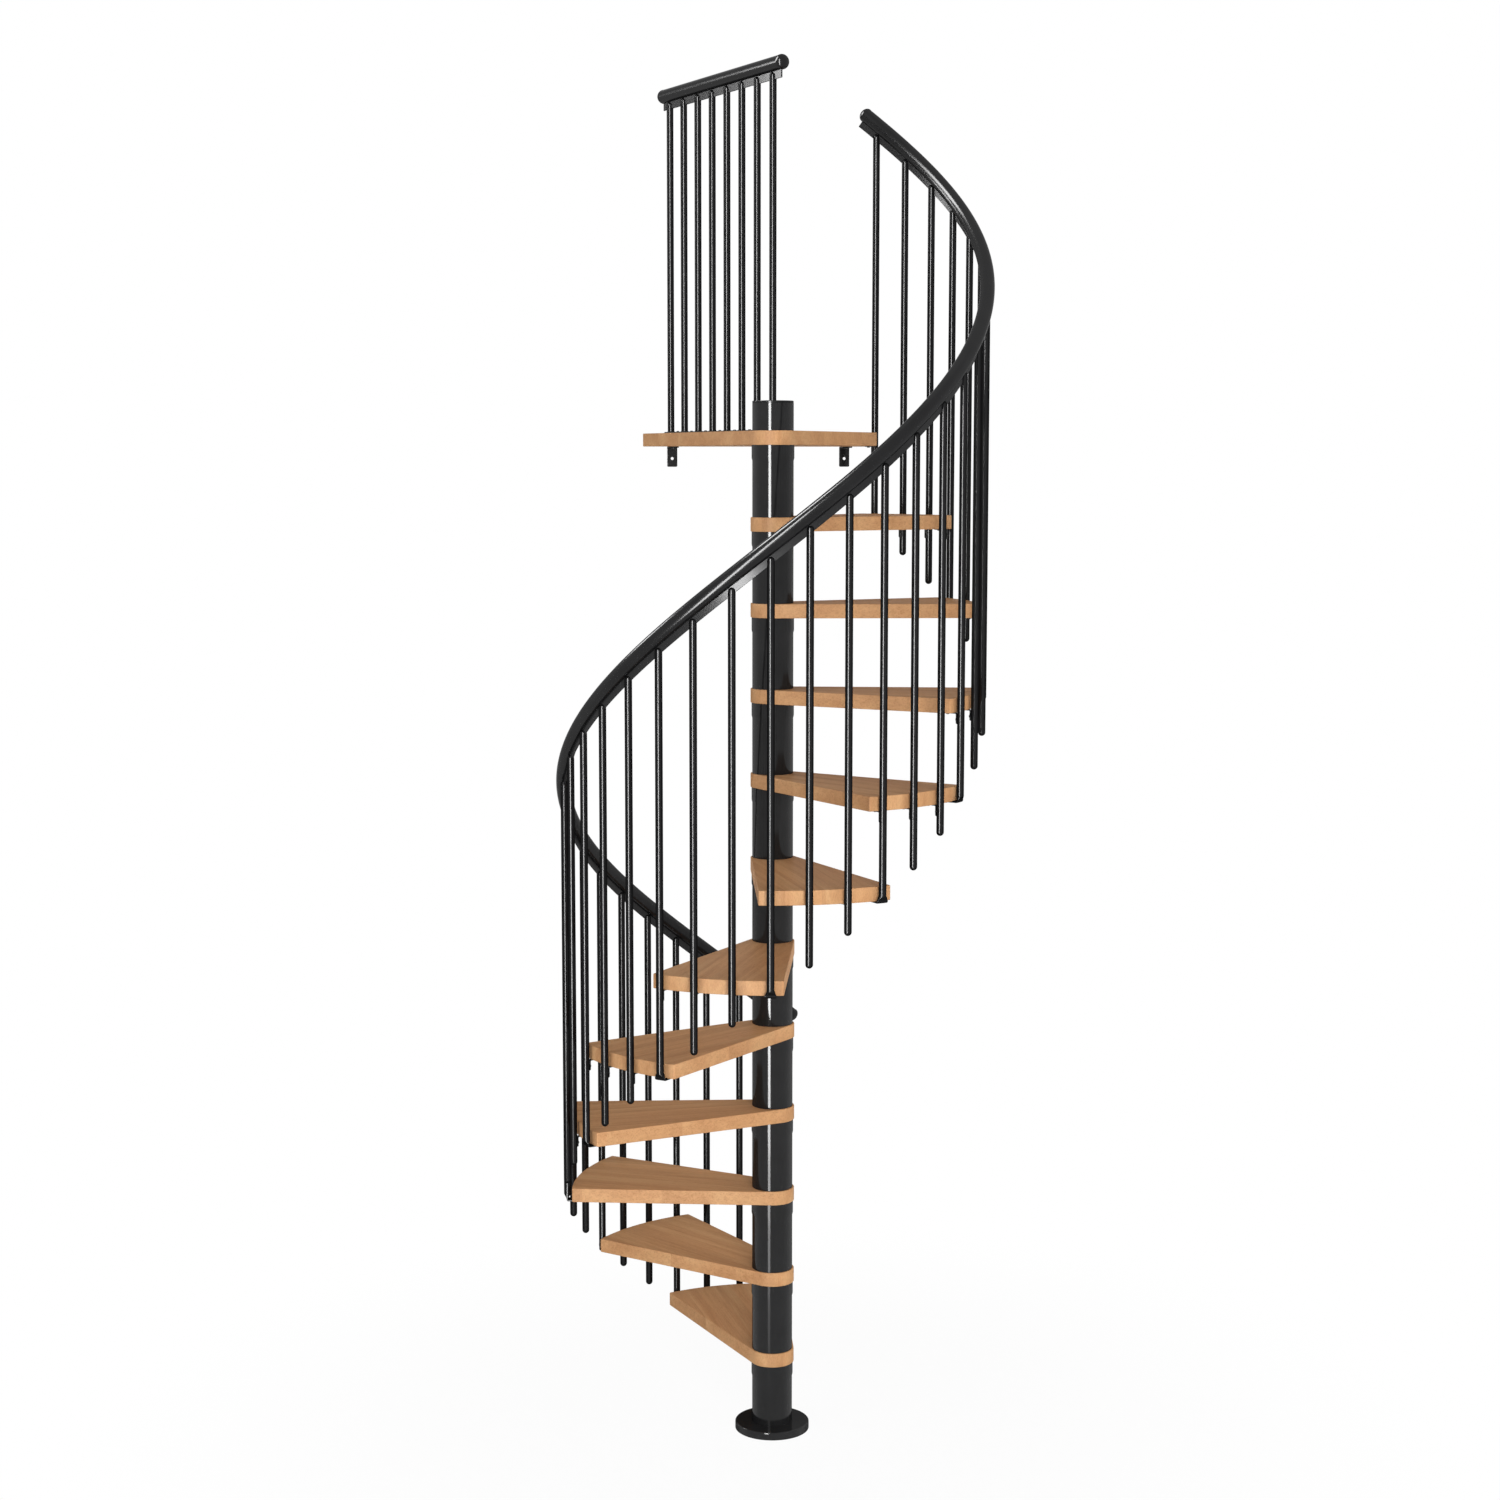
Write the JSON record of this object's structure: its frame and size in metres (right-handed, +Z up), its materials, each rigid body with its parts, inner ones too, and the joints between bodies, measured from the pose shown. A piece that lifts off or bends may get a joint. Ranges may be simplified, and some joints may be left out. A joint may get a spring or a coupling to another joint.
{
  "type": "spiral staircase",
  "caption": "Spiral staircase with wooden wedge treads on a black round column, a helical handrail on slotted balusters, and a landing platform with a straight balustrade.",
  "frame": {"origin": "centre of the base plate's underside, on the column axis at floor level", "axes": "+Z up the column, +Y out through the platform's straight back edge towards the upper floor, +X to the right seen from the front"},
  "size_m": [1.1996, 1.3798, 3.8399],
  "materials": {
    "wood": "satin lacquer",
    "black_steel": "gloss",
    "black_plastic": "satin gloss",
    "strip_steel": "gloss"
  },
  "bodies": {
    "root": {"base_plate": "black_steel", "center_pole": "black_steel", "spacer_sleeves": "black_steel", "sleeve_collars": "black_steel", "column_cap": "black_plastic", "tread_01": "wood", "tread_02": "wood", "tread_03": "wood", "tread_04": "wood", "tread_05": "wood", "tread_06": "wood", "tread_07": "wood", "tread_08": "wood", "tread_09": "wood", "tread_10": "wood", "tread_11": "wood", "platform": "wood", "start_baluster": "black_steel", "balusters_01": "black_steel", "balusters_02": "black_steel", "balusters_03": "black_steel", "balusters_04": "black_steel", "balusters_05": "black_steel", "balusters_06": "black_steel", "balusters_07": "black_steel", "balusters_08": "black_steel", "balusters_09": "black_steel", "balusters_10": "black_steel", "balusters_11": "black_steel", "baluster_brackets": "black_steel", "handrail": "black_plastic", "handrail_strip": "strip_steel", "handrail_caps": "black_plastic", "landing_handrail": "black_plastic", "landing_strip": "strip_steel", "landing_caps": "black_plastic", "landing_balusters": "black_steel", "landing_foot_bar": "black_steel", "wall_bracket_left": "black_steel", "wall_bracket_right": "black_steel"}
  },
  "joints": []
}
